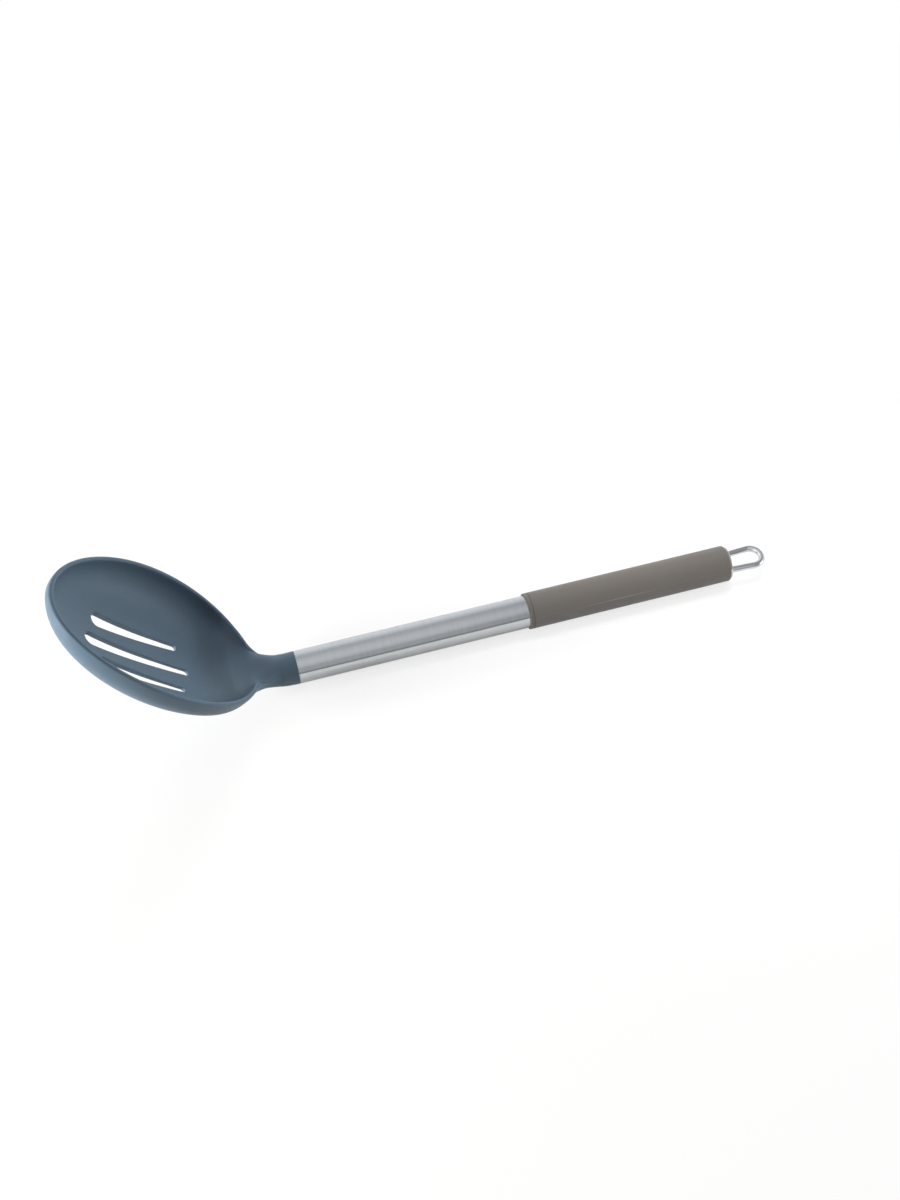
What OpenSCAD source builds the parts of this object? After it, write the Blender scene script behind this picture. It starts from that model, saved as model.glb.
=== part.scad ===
// Slotted skimmer: a moulded bowl on a steel tube, with a soft grip and a wire hanging loop.
// The handle lies along X, the bowl rises towards -X and opens upwards and back to the handle.

/* [Handle tube] */
// Outside diameter of the steel tube
tube_d = 15.5; // [12:0.1:22]
// Wall of the steel tube
tube_wall = 0.7; // [0.4:0.1:1.5]
// Bare length of tube between the neck and the grip
tube_bare = 111.6; // [60:0.1:180]

/* [Grip] */
// Length of the grip sleeve
grip_l = 101.4; // [60:0.1:140]
// Wall of the grip sleeve
grip_wall = 0.95; // [0.8:0.05:4]
// Length of the collar at the front of the grip
collar_l = 1.7; // [1:0.1:6]
// Width of the groove behind the collar
groove_w = 0.4; // [0.2:0.1:1]
// Depth of the groove behind the collar
groove_depth = 0.3; // [0.1:0.05:0.6]
// Rounding of the rear edge of the grip
grip_round = 0.7; // [0.2:0.05:0.75]

/* [End cap and loop] */
// Thickness of the flange of the end cap
cap_t = 1; // [0.6:0.1:3]
// Depth that the end cap reaches into the tube
cap_skirt = 4; // [2:0.5:10]
// Thickness of the wire of the loop
wire_d = 3; // [1.5:0.1:3.6]
// Material left between the bore of the tube and each leg where the leg leaves the cap
leg_edge = 0.75; // [0.4:0.05:1.2]
// Spread of the loop, from where it leaves the cap to its bend
loop_flare = 1.3; // [0:0.1:4]
// Reach of the loop behind the grip
loop_reach = 20; // [14:0.5:40]
// Length of the plug that holds the legs
plug_l = 14; // [8:0.5:30]
// Material left in front of the ends of the legs
plug_web = 3; // [1:0.5:6]

/* [Bowl] */
// Length of the oval rim
bowl_l = 110.4; // [80:0.5:140]
// Width of the oval rim
bowl_w = 77.4; // [60:0.5:100]
// Depth of the inside below the middle of the rim
bowl_depth = 19.2; // [12:0.1:30]
// Wall of the floor of the bowl
bowl_wall = 1.9; // [1.2:0.1:4]
// Wall added to the floor at the neck
heel_wall = 1.6; // [0:0.1:3]
// Fullness of the sides and the heel, where 0.5 makes an ellipse and less makes them steeper
fullness = 0.41; // [0.3:0.01:0.6]
// Fullness of the tip, on the same scale
tip_fullness = 0.5; // [0.3:0.01:0.6]
// Fullness of the outside across the bowl, on the same scale
outer_fullness = 0.36; // [0.3:0.01:0.5]
// Width of the rounded lip
lip_w = 2.2; // [1.4:0.1:3.2]
// Angle between the rim and the handle
bowl_tilt = 45; // [20:1:55]
// Drop of the rim at tip and neck below its sides
rim_drop = 3.3; // [0:0.1:6]

/* [Neck] */
// Length of the neck along its top, from the tube to the end of the oval
neck_l = 15.5; // [12:0.5:40]
// Straight part of the neck behind its bend
neck_flat = 3.3; // [0:0.1:10]
// Radius of the upward bend, along the top
neck_bend_r = 28; // [16:1:40]
// Width of the neck at its waist
waist_w = 14.6; // [10:0.1:18]
// Height of the neck at its waist
waist_h = 13.6; // [10:0.1:18]
// Place on the oval where the shoulder fillet ends, as an angle from the neck
shoulder_angle = 22; // [18:1:32]
// Start of the heel under the neck, before the oval
heel_start = 4; // [3:0.5:10]
// Start of the scoop in the top of the neck, before the oval
scoop_start = 12; // [2:0.5:14]
// Length over which the scoop falls to the floor of the bowl
scoop_l = 40; // [20:1:50]

/* [Slots] */
// Width of each slot towards the tip
slot_tip_w = 7.1; // [3:0.1:8]
// Width of each slot towards the neck
slot_neck_w = 3.2; // [3:0.1:8]
// Distance between neighbouring slots
slot_pitch = 12.4; // [10:0.1:18]
// Length of the middle slot
slot_mid_l = 57; // [30:0.5:70]
// Length of the slots at the sides
slot_side_l = 47; // [24:0.5:60]
// Place of the middle of the slots along the rim, from the end of the oval
slot_centre = 55.4; // [45:0.1:62]

/* [Spigot] */
// Length of the spigot of the bowl inside the tube
spigot_l = 32; // [15:1:60]
// Height of the gripping rings above the core of the spigot
ring_h = 0.8; // [0.3:0.1:2]
// Width of each gripping ring
ring_w = 3; // [1:0.5:6]
// Number of gripping rings
ring_count = 4; // [2:1:5]

/* [Hidden] */

$fn = 64;
tube_r = tube_d / 2;
bore_r = tube_r - tube_wall;
grip_r = tube_r + grip_wall;
tube_l = tube_bare + grip_l;
cap_r = grip_r - grip_round;
join_overlap = 1;
weld = 0.0005;

// Outline of the rim: an oval that meets the flank of the neck in a round shoulder
oval_a = bowl_l / 2;
oval_b = bowl_w / 2;
waist_r = waist_w / 2;
shoulder_end = [oval_a * (1 - cos(shoulder_angle)), oval_b * sin(shoulder_angle)];
shoulder_dir = unit([-oval_b * cos(shoulder_angle), oval_a * sin(shoulder_angle)]);
shoulder_r = (shoulder_end.y - waist_r) / (1 - shoulder_dir.y);
shoulder_c = [shoulder_end.x + shoulder_r * shoulder_dir.x, waist_r + shoulder_r];

// Stretches over which the neck turns into the bowl, measured from the end of the oval
rim_rise_l = 9;
heel_l = 44;
lip_start = -5;
lip_fade_l = 12;
floor_start = -scoop_start;
floor_end = bowl_l - lip_w;
blend_power = 8;

// Fullness of the top of the neck, which is half an ellipse
neck_fullness = 0.5;

// Steps of the loft: around the outside, over each lip, across the inside, and along the tool
outer_steps = 36;
lip_steps = 6;
inner_steps = 32;
neck_steps = 16;
oval_steps = 32;
oval_from = 36;
oval_to = 176;
ring_steps = outer_steps + 2 * lip_steps + inner_steps;

function unit(v) = v / norm(v);
function mix(low, high, share) = low * (1 - share) + high * share;
function clip(x) = min(max(x, 0), 1);
function ease(x) = let (t = clip(x)) t * t * (3 - 2 * t);
function soft_ease(x) = let (t = clip(x)) t * t * t * (10 + t * (6 * t - 15));
function root(x) = sqrt(max(x, 0));
function soft_max(x, y) = pow(pow(x, blend_power) + pow(y, blend_power), 1 / blend_power);

// The line along the top of the neck and the plane of the rim, by its own length from the tube
bend_l = neck_bend_r * bowl_tilt * PI / 180;
bend_end = [-neck_flat - neck_bend_r * sin(bowl_tilt), tube_r + neck_bend_r * (1 - cos(bowl_tilt))];
function line_angle(s) = bowl_tilt * clip((s - neck_flat) / bend_l);
function line_point(s) =
    s < neck_flat ? [-s, tube_r]
    : s < neck_flat + bend_l
        ? [-neck_flat - neck_bend_r * sin(line_angle(s)), tube_r + neck_bend_r * (1 - cos(line_angle(s)))]
        : bend_end + (s - neck_flat - bend_l) * [-cos(bowl_tilt), sin(bowl_tilt)];
function place(p, across, up) =
    let (s = p + neck_l, foot = line_point(s), turn = line_angle(s))
    [foot.x + up * sin(turn), across, foot.y + up * cos(turn)];

// Sizes of the section at p, which runs from -neck_l at the tube to bowl_l at the tip
function oval_u(p) = min(max((p - oval_a) / oval_a, -1), 1);
function neck_share(p) = ease((p + neck_l) / neck_l);
function neck_half(p) = mix(tube_r, waist_r, neck_share(p));
function neck_height(p) = mix(tube_d, waist_h, neck_share(p));
function half_width(p) =
    p < shoulder_c.x ? neck_half(p)
    : p < shoulder_end.x ? shoulder_c.y - root(shoulder_r * shoulder_r - pow(p - shoulder_c.x, 2))
    : oval_b * root(1 - pow(oval_u(p), 2));
function width_slope(p) =
    p < shoulder_c.x ? 0
    : p < shoulder_end.x ? (p - shoulder_c.x) / root(shoulder_r * shoulder_r - pow(p - shoulder_c.x, 2))
    : oval_b / oval_a * abs(oval_u(p)) / root(1 - pow(oval_u(p), 2));
function arch(x, power) = pow(max(1 - x * x, 0), power);
function long_arch(p, from, to) =
    let (x = (2 * p - from - to) / (to - from))
    arch(x, x < 0 ? fullness : tip_fullness);
function rim_level(p) =
    mix(-tube_r, -rim_drop * pow(oval_u(p), 2), ease((p + neck_l) / (neck_l + rim_rise_l)));
function wall_at(p) = bowl_wall + heel_wall * (1 - ease(p / heel_l));
function under_level(p) =
    -soft_max(neck_height(p) * (1 - ease(p / oval_a)),
        (bowl_depth + wall_at(p)) * long_arch(p, -heel_start, bowl_l) + rim_drop * pow(oval_u(p), 2));
function scoop_share(p) = soft_ease((p + scoop_start) / scoop_l);
function hollow_fullness(p) = mix(neck_fullness, fullness, scoop_share(p));
function floor_level(p) =
    -(bowl_depth * long_arch(p, floor_start, floor_end) + rim_drop * pow(oval_u(p), 2))
        * scoop_share(p);
function inner_half(p) =
    p < oval_a ? half_width(p) - lip_w * sqrt(1 + pow(width_slope(p), 2)) * lip_share(p)
    : p < floor_end ? (oval_b - lip_w) * root(1 - pow((p - oval_a) / (oval_a - lip_w), 2))
    : half_width(p) / 2;
function lip_share(p) = ease((p - lip_start) / lip_fade_l);
function inset(p, across) =
    let (u = oval_u(p), w = across / oval_b, rho = norm([u, w]))
    (1 - rho) * rho / norm([u / oval_a, w / oval_b]);
function bead(p, across) = lip_w / 2 * root(1 - pow(2 * inset(p, across) / lip_w - 1, 2));
function lip_height(p, across, turn) = p < oval_a ? lip_w / 2 * lip_share(p) * sin(turn) : bead(p, across);

// Point k of the round section of the neck, and of the hollow section of the bowl
function neck_ring(p, k) =
    let (turn = k <= outer_steps ? 180 * k / outer_steps
        : 180 + 180 * (k - outer_steps) / (ring_steps - outer_steps))
    [neck_half(p) * cos(turn), -neck_height(p) / 2 * (1 + sin(turn))];
function bowl_ring(p, k) =
    let (
        outer = half_width(p),
        inner = inner_half(p),
        level = rim_level(p),
        lip = (outer - inner) / 2,
        crest = (outer + inner) / 2,
        over = k - outer_steps,
        inside = over - lip_steps,
        back = inside - inner_steps
    )
    over <= 0
        ? let (turn = 180 * k / outer_steps)
            [outer * cos(turn), mix(level, under_level(p), arch(cos(turn), outer_fullness))]
    : inside < 0
        ? let (turn = 180 * over / lip_steps, across = crest + lip * cos(turn))
            [-across, level + lip_height(p, across, turn)]
    : back <= 0
        ? let (turn = 180 * (1 - inside / inner_steps), across = inner * cos(turn))
            [across, p < floor_end ? mix(level, floor_level(p), arch(cos(turn), hollow_fullness(p)))
                : level + bead(p, across)]
    : let (turn = 180 * (1 - back / lip_steps), across = crest + lip * cos(turn))
        [across, level + lip_height(p, across, turn)];
function loft_point(p, k) =
    let (spot = mix(neck_ring(p, k), bowl_ring(p, k), neck_share(p)))
    place(p, spot.x, spot.y);

// Stations of the loft, and all its points ring by ring
oval_first = oval_a * (1 - cos(oval_from));
stations = concat(
    [for (i = [0 : neck_steps]) mix(-neck_l, oval_first, i / neck_steps)],
    [for (i = [1 : oval_steps]) oval_a * (1 - cos(mix(oval_from, oval_to, i / oval_steps)))]
);
loft_points = [for (p = stations) for (k = [0 : ring_steps - 1]) loft_point(p, k)];
tube_face = [0, 0, 0];
tip = place(bowl_l, 0, rim_level(bowl_l));

// Where the bend of the loop lies, and how its straight legs run from the plug to the bend
leg_y = bore_r - leg_edge - wire_d / 2;
bend_r = leg_y + loop_flare / 2;
cap_face = tube_l + cap_t;
bend_x = tube_l + loop_reach - wire_d / 2 - bend_r;
leg_run = bend_x - cap_face;
leg_spread = asin(bend_r / norm([leg_run, leg_y])) - atan2(leg_y, leg_run);
leg_out = leg_run * cos(leg_spread) - leg_y * sin(leg_spread);
leg_in = cap_t + cap_skirt + plug_l - plug_web;
plug_start = tube_l - cap_skirt - plug_l;

// The part stands on the lowest line of its grip, with the middle of its length over the origin
rest_x = -(min([for (v = loft_points) v.x]) + tube_l + loop_reach) / 2;
rest_z = max(grip_r, -min([for (v = loft_points) v.z]));

module at_rest() {
    translate([rest_x, 0, rest_z]) children();
}

// A body of revolution about the handle, from a profile drawn as radius and length
module along_handle(start) {
    translate([start, 0, 0]) rotate([0, 90, 0]) children();
}

module bowl_loft() {
    last = len(stations) - 1;
    apex = len(loft_points);
    polyhedron(
        points = concat(loft_points, [tube_face, tip]),
        faces = concat(
            [for (k = [0 : ring_steps - 1]) [apex, k, (k + 1) % ring_steps]],
            [for (i = [0 : last - 1]) for (k = [0 : ring_steps - 1]) for (half = [0, 1])
                let (here = i * ring_steps, next = here + ring_steps, after = (k + 1) % ring_steps)
                half == 0 ? [here + k, next + k, next + after] : [here + k, next + after, here + after]],
            [for (k = [0 : ring_steps - 1])
                let (here = last * ring_steps)
                [here + k, apex + 1, here + (k + 1) % ring_steps]]
        )
    );
}

// A slot with round ends, narrower towards the neck, cut square to the plane of the rim
module slot(slot_l) {
    cut = bowl_depth + bowl_wall + heel_wall + rim_drop;
    tip_r = slot_tip_w / 2;
    neck_r = slot_neck_w / 2;
    run = slot_l - tip_r - neck_r;
    lean = asin((tip_r - neck_r) / run);
    flank = [-sin(lean), cos(lean)];
    neck_spot = flank * neck_r;
    tip_spot = [run, 0] + flank * tip_r;
    flip = function (v) [v.x, -v.y];
    translate([slot_centre - slot_l / 2 + neck_r, 0, -cut]) linear_extrude(cut) {
        polygon([flip(neck_spot), flip(tip_spot), tip_spot, neck_spot]);
        circle(r = neck_r);
        translate([run, 0]) circle(r = tip_r);
    }
}

module slots() {
    foot = bend_end + (neck_l - neck_flat - bend_l) * [-cos(bowl_tilt), sin(bowl_tilt)];
    translate([foot.x, 0, foot.y]) rotate([0, bowl_tilt, 0]) rotate([0, 0, 180]) {
        slot(slot_mid_l);
        for (side = [-1, 1]) translate([0, side * slot_pitch, 0]) slot(slot_side_l);
    }
}

module spigot() {
    core_r = bore_r - ring_h;
    along_handle(-join_overlap) cylinder(h = join_overlap + spigot_l, r = core_r);
    for (i = [0 : ring_count - 1]) along_handle(i * spigot_l / ring_count) cylinder(h = ring_w, r = bore_r);
}

module skimmer_head() {
    color("#55646f") at_rest() {
        difference() {
            bowl_loft();
            slots();
        }
        spigot();
    }
}

module handle_tube() {
    color("#b4b9bd") at_rest() along_handle(0) rotate_extrude()
        translate([bore_r, 0]) square([tube_wall, tube_l]);
}

module grip_sleeve() {
    color("#6e6862") at_rest() along_handle(tube_bare) rotate_extrude() difference() {
        translate([tube_r, 0]) square([grip_wall, grip_l]);
        translate([grip_r - groove_depth, collar_l]) square([grip_wall, groove_w]);
        translate([grip_r - grip_round, grip_l - grip_round]) difference() {
            square(grip_wall + grip_round);
            circle(r = grip_round);
        }
    }
}

// Both straight legs of the loop, by their reach to either side of the face of the cap
module both_legs(out) {
    for (side = [0, 1]) mirror([0, side, 0]) translate([cap_face, leg_y, 0]) rotate([0, 0, leg_spread])
        along_handle(-leg_in) cylinder(h = leg_in + out, d = wire_d);
}

module end_cap() {
    color("#d9dcde") at_rest() difference() {
        union() {
            along_handle(tube_l - cap_skirt) cylinder(h = cap_skirt, r = bore_r);
            along_handle(tube_l) rotate_extrude() {
                square([cap_r - cap_t / 2, cap_t]);
                square([cap_r, cap_t / 2]);
                translate([cap_r - cap_t / 2, cap_t / 2]) intersection() {
                    circle(d = cap_t);
                    square(cap_t);
                }
            }
        }
        both_legs(join_overlap);
    }
}

module loop_plug() {
    color("#3a3d40") at_rest() difference() {
        along_handle(plug_start) cylinder(h = plug_l, r = bore_r);
        both_legs(join_overlap);
    }
}

module hanging_loop() {
    bend_turn = 180 + 2 * leg_spread;
    color("#e2e4e6") at_rest() {
        both_legs(leg_out + weld);
        translate([bend_x, 0, 0]) rotate([0, 0, -bend_turn / 2]) rotate_extrude(angle = bend_turn)
            translate([bend_r, 0]) circle(d = wire_d);
    }
}

skimmer_head();
handle_tube();
grip_sleeve();
end_cap();
loop_plug();
hanging_loop();
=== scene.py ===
# %% [markdown]
# # A slotted skimmer, dressed around its solids
#
# The tool is a moulded nylon bowl with three long slots, pressed into a brushed steel tube, with a soft
# grip sleeve, a polished cap and a bent wire loop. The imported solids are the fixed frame. Each visible
# piece is worked out again here as a fine surface in the same place, because a finish only looks right on
# a surface that has small edge roundings and no flat facets. All lengths below are in millimetres and
# become metres when a mesh is made.

# %% Load the frame
import math

import bpy
import numpy as np
from mathutils import Matrix, Vector
from mathutils.geometry import delaunay_2d_cdt


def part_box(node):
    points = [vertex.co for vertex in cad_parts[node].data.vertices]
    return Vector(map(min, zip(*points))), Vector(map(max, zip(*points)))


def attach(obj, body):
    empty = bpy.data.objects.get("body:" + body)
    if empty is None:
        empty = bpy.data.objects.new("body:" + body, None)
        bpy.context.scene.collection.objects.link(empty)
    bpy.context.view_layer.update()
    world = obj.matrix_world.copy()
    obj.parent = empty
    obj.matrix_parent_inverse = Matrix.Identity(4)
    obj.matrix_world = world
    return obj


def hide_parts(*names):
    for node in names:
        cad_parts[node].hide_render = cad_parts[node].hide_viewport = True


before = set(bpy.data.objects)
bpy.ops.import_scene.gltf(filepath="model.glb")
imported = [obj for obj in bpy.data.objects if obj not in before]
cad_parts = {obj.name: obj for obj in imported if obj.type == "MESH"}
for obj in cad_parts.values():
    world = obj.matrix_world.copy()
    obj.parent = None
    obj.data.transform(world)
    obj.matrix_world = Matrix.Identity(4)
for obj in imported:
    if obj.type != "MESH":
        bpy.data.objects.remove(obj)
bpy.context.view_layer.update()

MM = 0.001
print("frame nodes", sorted(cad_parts))

# %% [markdown]
# ## Where the tool lies
#
# Every surface is drawn from the junction: the point on the axis of the handle where the steel tube meets
# the neck. It could be typed in, but reading it from the box of the tube keeps the pieces on the solids.

# %% The junction
tube_low, tube_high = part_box("handle_tube")
JUNCTION = np.array([tube_low.x, 0.0, (tube_low.z + tube_high.z) / 2]) / MM
TUBE_R = (tube_high.z - tube_low.z) / 2 / MM
TUBE_L = (tube_high.x - tube_low.x) / MM
print("junction", JUNCTION.round(2), "tube radius", round(TUBE_R, 3), "tube length", round(TUBE_L, 2))

# %% [markdown]
# ## From arrays to pieces
#
# Each shape below gives an array of points and an array of triangles. Points that fall together are welded
# by rounding them and keeping one of each, and triangles that lose a corner that way are dropped. So a pole
# or a seam closes by itself, and no loop over points is needed.

# %% Helpers that turn arrays into a mesh
WELD, TINY = 2e-4, 1e-9


def grid_triangles(rows, columns, start=0, keep=None):
    """Two triangles for each cell of a grid of rows by columns points; keep masks the cells that stay."""
    index = start + np.arange(rows * columns).reshape(rows, columns)
    a, b, c, d = index[:-1, :-1], index[1:, :-1], index[1:, 1:], index[:-1, 1:]
    cells = np.stack([np.stack([a, b, c], -1), np.stack([a, c, d], -1)], 2)
    return cells.reshape(-1, 3) if keep is None else cells[keep].reshape(-1, 3)


def welded(points, triangles):
    """The same surface with points that fall together joined and empty triangles left out."""
    _, first, home = np.unique(np.round(points / WELD), axis=0, return_index=True, return_inverse=True)
    triangles = home.reshape(-1)[triangles]
    a, b, c = triangles.T
    triangles = triangles[(a != b) & (b != c) & (c != a)]
    return points[first], triangles


def signed_volume(points, triangles):
    """Volume of the closed surface: the sum of the small tetrahedra from the origin to each triangle."""
    a, b, c = points[triangles].transpose(1, 0, 2)
    return (a * np.cross(b, c)).sum() / 6


def piece(name, points, triangles, node, slot, finish, crease=None):
    """A smooth closed mesh that rides with the tool and stands for a solid of the frame."""
    points, triangles = welded(points, triangles)
    if signed_volume(points, triangles) < 0:
        triangles = triangles[:, ::-1]
    mesh = bpy.data.meshes.new(name)
    mesh.from_pydata(((points + JUNCTION) * MM).tolist(), [], triangles.tolist())
    mesh.validate()
    mesh.shade_smooth()
    if crease is not None:
        mesh.set_sharp_from_angle(angle=math.radians(crease))
    mesh.materials.append(finish)
    obj = bpy.data.objects.new(name, mesh)
    bpy.context.scene.collection.objects.link(obj)
    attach(obj, "root")
    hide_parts(node)
    print(name, len(points), "points", len(triangles), "triangles",
          round(abs(signed_volume(points, triangles)) / 1000, 2), "cm3")
    return obj


# %% [markdown]
# ## Grain and brushing
#
# Two effects return on several finishes, so each is a shader node group. Moulded grain is the fine pitting
# that a spark-eroded mould leaves: small rounded cells with a softer waviness below. Brushing is the mark
# of an abrasive belt: noise that is stretched along one direction and changes fast across it. Both could be
# pictures wrapped on a map, but worked out in object space they keep their scale and show no seam.

# %% Node helpers and the two shared groups
CELL_SOFTNESS, FINE_SHARE, SMEAR_SCALE = 0.6, 0.5, 0.16


def add_node(tree, kind, **settings):
    """A node of a kind, with its properties set from keywords and its inputs from a dict named inputs."""
    inputs = settings.pop("inputs", {})
    node = tree.nodes.new(kind)
    for key, value in settings.items():
        setattr(node, key, value)
    for key, value in inputs.items():
        node.inputs[key].default_value = value
    return node


def new_group(name, inputs, outputs):
    """An empty shader group with float or vector inputs (name, kind, value) and float outputs."""
    tree = bpy.data.node_groups.new(name, "ShaderNodeTree")
    for label, kind, value in inputs:
        socket = tree.interface.new_socket(label, in_out="INPUT", socket_type=kind)
        socket.default_value = value
    for label in outputs:
        tree.interface.new_socket(label, in_out="OUTPUT", socket_type="NodeSocketFloat")
    return tree, tree.nodes.new("NodeGroupInput"), tree.nodes.new("NodeGroupOutput")


def maths(tree, operation, first, second):
    """A maths node; each side is a socket or a number."""
    node = add_node(tree, "ShaderNodeMath", operation=operation)
    for socket, value in zip(node.inputs, (first, second)):
        if isinstance(value, (int, float)):
            socket.default_value = value
        else:
            tree.links.new(value, socket)
    return node.outputs[0]


def ranged(tree, value, low, high):
    """Maps a value from 0..1 onto low..high."""
    node = add_node(tree, "ShaderNodeMapRange", inputs={"To Min": low, "To Max": high})
    tree.links.new(value, node.inputs["Value"])
    return node.outputs["Result"]


def grain_group():
    """Height = rounded cells plus half as much fine noise; Tone = a slow drift over the piece."""
    tree, given, result = new_group(
        "moulded_grain",
        [("Cells per metre", "NodeSocketFloat", 2600.0), ("Drift per metre", "NodeSocketFloat", 30.0)],
        ["Height", "Tone"],
    )
    place = add_node(tree, "ShaderNodeTexCoord")
    cells = add_node(tree, "ShaderNodeTexVoronoi", feature="SMOOTH_F1", inputs={"Smoothness": CELL_SOFTNESS})
    fine = add_node(tree, "ShaderNodeTexNoise", inputs={"Detail": 3.0, "Roughness": 0.6})
    drift = add_node(tree, "ShaderNodeTexNoise", inputs={"Detail": 2.0})
    for node in (cells, fine, drift):
        tree.links.new(place.outputs["Object"], node.inputs["Vector"])
    tree.links.new(given.outputs["Cells per metre"], cells.inputs["Scale"])
    tree.links.new(given.outputs["Cells per metre"], fine.inputs["Scale"])
    tree.links.new(given.outputs["Drift per metre"], drift.inputs["Scale"])
    half = maths(tree, "MULTIPLY", fine.outputs["Fac"], FINE_SHARE)
    tree.links.new(maths(tree, "ADD", cells.outputs["Distance"], half), result.inputs["Height"])
    tree.links.new(drift.outputs["Fac"], result.inputs["Tone"])
    return tree


def brushing_group():
    """Marks = noise stretched by a scale for each axis; Smear = the same, coarser and softer."""
    tree, given, result = new_group(
        "belt_brushing",
        [("Marks per metre", "NodeSocketVector", (9000.0, 300.0, 300.0))],
        ["Marks", "Smear"],
    )
    place = add_node(tree, "ShaderNodeTexCoord")
    stretch = add_node(tree, "ShaderNodeVectorMath", operation="MULTIPLY")
    tree.links.new(place.outputs["Object"], stretch.inputs[0])
    tree.links.new(given.outputs["Marks per metre"], stretch.inputs[1])
    for label, scale, detail in (("Marks", 1.0, 4.0), ("Smear", SMEAR_SCALE, 2.0)):
        noise = add_node(tree, "ShaderNodeTexNoise", inputs={"Scale": scale, "Detail": detail})
        tree.links.new(stretch.outputs[0], noise.inputs["Vector"])
        tree.links.new(noise.outputs["Fac"], result.inputs[label])
    return tree


GRAIN = grain_group()
BRUSHING = brushing_group()
print("groups", [tree.name for tree in (GRAIN, BRUSHING)])

# %% [markdown]
# ## The finishes
#
# Nylon is a dielectric with a broad soft gloss, broken up by the grain. The soft-touch skin of the grip is
# rougher, with a finer grain and a trace of sheen where it turns away. The tube is brushed round, so its
# gloss is drawn out along the handle while edges in a reflection stay sharp across it. Cap and wire are
# polished, with only faint marks. A colour that is the same all over is set on the shader itself.

# %% Materials


def new_finish(name, **constants):
    """A material with a Principled shader whose plain inputs are set directly."""
    material = bpy.data.materials.new(name)
    material.use_nodes = True
    tree = material.node_tree
    shader = tree.nodes["Principled BSDF"]
    for key, value in constants.items():
        shader.inputs[key.replace("_", " ")].default_value = value
    return material, tree, shader


def use_group(tree, group, **values):
    """A node that places a shared group in a material with its own values."""
    node = add_node(tree, "ShaderNodeGroup", node_tree=group)
    for key, value in values.items():
        node.inputs[key.replace("_", " ")].default_value = value
    return node


def toned(tree, factor, dark, light):
    """A colour between dark and light by a factor."""
    node = add_node(tree, "ShaderNodeMix", data_type="RGBA")
    node.inputs["A"].default_value = (*dark, 1)
    node.inputs["B"].default_value = (*light, 1)
    tree.links.new(factor, node.inputs["Factor"])
    return node.outputs["Result"]


def bumped(tree, shader, height, depth_mm):
    """A bump of a depth in millimetres on the shader's normal."""
    bump = add_node(tree, "ShaderNodeBump", inputs={"Strength": 1.0, "Distance": depth_mm * MM})
    tree.links.new(height, bump.inputs["Height"])
    tree.links.new(bump.outputs["Normal"], shader.inputs["Normal"])


def moulded(name, dark, light, rough, cells, depth_mm, **constants):
    """A grained moulding: colour drifts from dark to light, roughness follows the grain."""
    material, tree, shader = new_finish(name, **constants)
    grain = use_group(tree, GRAIN, Cells_per_metre=cells)
    tree.links.new(toned(tree, grain.outputs["Tone"], dark, light), shader.inputs["Base Color"])
    tree.links.new(ranged(tree, grain.outputs["Height"], *rough), shader.inputs["Roughness"])
    bumped(tree, shader, grain.outputs["Height"], depth_mm)
    return material


def metal(name, dark, light, rough, marks, depth_mm, **constants):
    """A brushed or polished metal: marks change colour, roughness and normal."""
    material, tree, shader = new_finish(name, Metallic=1.0, **constants)
    brush = use_group(tree, BRUSHING, Marks_per_metre=marks)
    tree.links.new(toned(tree, brush.outputs["Smear"], dark, light), shader.inputs["Base Color"])
    tree.links.new(ranged(tree, brush.outputs["Marks"], *rough), shader.inputs["Roughness"])
    bumped(tree, shader, brush.outputs["Marks"], depth_mm)
    return material


def brushed_round(material):
    """Draws the gloss of a brushed finish out along the handle: its tangent runs round the X axis."""
    tree = material.node_tree
    tangent = add_node(tree, "ShaderNodeTangent", direction_type="RADIAL", axis="X")
    tree.links.new(tangent.outputs["Tangent"], tree.nodes["Principled BSDF"].inputs["Tangent"])


NYLON = moulded(
    "nylon_blue_grey", dark=(0.0695, 0.106, 0.143), light=(0.0775, 0.116, 0.155),
    rough=(0.3, 0.48), cells=1400.0, depth_mm=0.045, Specular_IOR_Level=0.3,
)
SOFT_GRIP = moulded(
    "soft_touch_taupe", dark=(0.116, 0.105, 0.0955), light=(0.127, 0.115, 0.1045),
    rough=(0.55, 0.68), cells=5200.0, depth_mm=0.006, Sheen_Weight=0.08,
)
TUBE_STEEL = metal(
    "tube_brushed_steel", dark=(0.51, 0.535, 0.555), light=(0.58, 0.605, 0.625),
    rough=(0.12, 0.24), marks=(6000.0, 300.0, 300.0), depth_mm=0.0028,
    Anisotropic=0.6, Anisotropic_Rotation=0.25,
)
POLISHED = metal(
    "polished_steel", dark=(0.66, 0.67, 0.68), light=(0.72, 0.73, 0.74),
    rough=(0.06, 0.14), marks=(900.0, 900.0, 900.0), depth_mm=0.0006,
)
PLUG = moulded(
    "plug_dark", dark=(0.03, 0.034, 0.038), light=(0.038, 0.042, 0.047),
    rough=(0.45, 0.6), cells=3000.0, depth_mm=0.01,
)
brushed_round(TUBE_STEEL)
print("finishes", [m.name for m in (NYLON, SOFT_GRIP, TUBE_STEEL, POLISHED, PLUG)])

# %% [markdown]
# ## The bowl with its neck
#
# The moulding starts as a round neck at the tube, bends upwards and opens into an oval bowl with a rounded
# lip. It could be pushed into shape by hand from a sphere, but a loft gives it exactly: a section at each
# place p along the tool, and a point at each angle of that section. The section of the neck is an oval, the
# section of the bowl is a crescent, and one turns into the other along the neck.

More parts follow.
